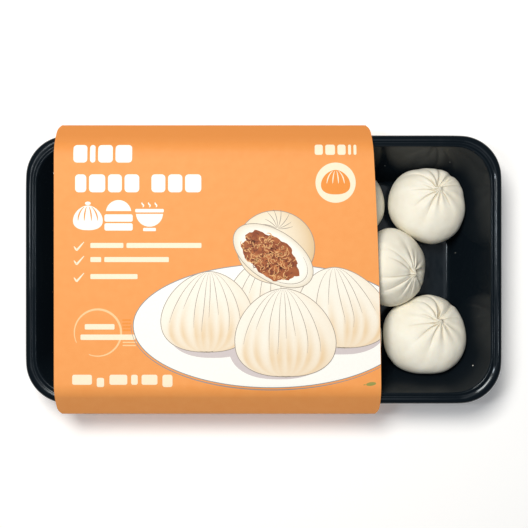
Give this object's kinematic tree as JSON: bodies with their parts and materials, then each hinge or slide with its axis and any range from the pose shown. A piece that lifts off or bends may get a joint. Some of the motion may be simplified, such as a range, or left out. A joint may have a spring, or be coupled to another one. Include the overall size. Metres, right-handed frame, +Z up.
{
  "type": "soup dumpling tray pack",
  "caption": "Open black plastic tray packed with pleated white soup dumplings, with an orange card sleeve slid round it so that one end stays open.",
  "frame": {"origin": "on the surface that the pack stands on, under the middle of the tray", "axes": "+X along the tray towards its uncovered end, +Y across it, +Z up"},
  "size_m": [0.25, 0.1524, 0.0453],
  "materials": {
    "tray_plastic": "black thermoformed polypropylene, glossy",
    "sleeve_card": "coated card printed orange, satin",
    "dough": "ivory wheat dough, soft and slightly translucent, matt"
  },
  "bodies": {
    "root": {"tray": "tray_plastic", "sleeve": "sleeve_card", "dumpling_01": "dough", "dumpling_02": "dough", "dumpling_03": "dough", "dumpling_04": "dough", "dumpling_05": "dough", "dumpling_06": "dough", "dumpling_07": "dough", "dumpling_08": "dough", "dumpling_09": "dough", "dumpling_10": "dough", "dumpling_11": "dough", "dumpling_12": "dough"}
  },
  "joints": []
}
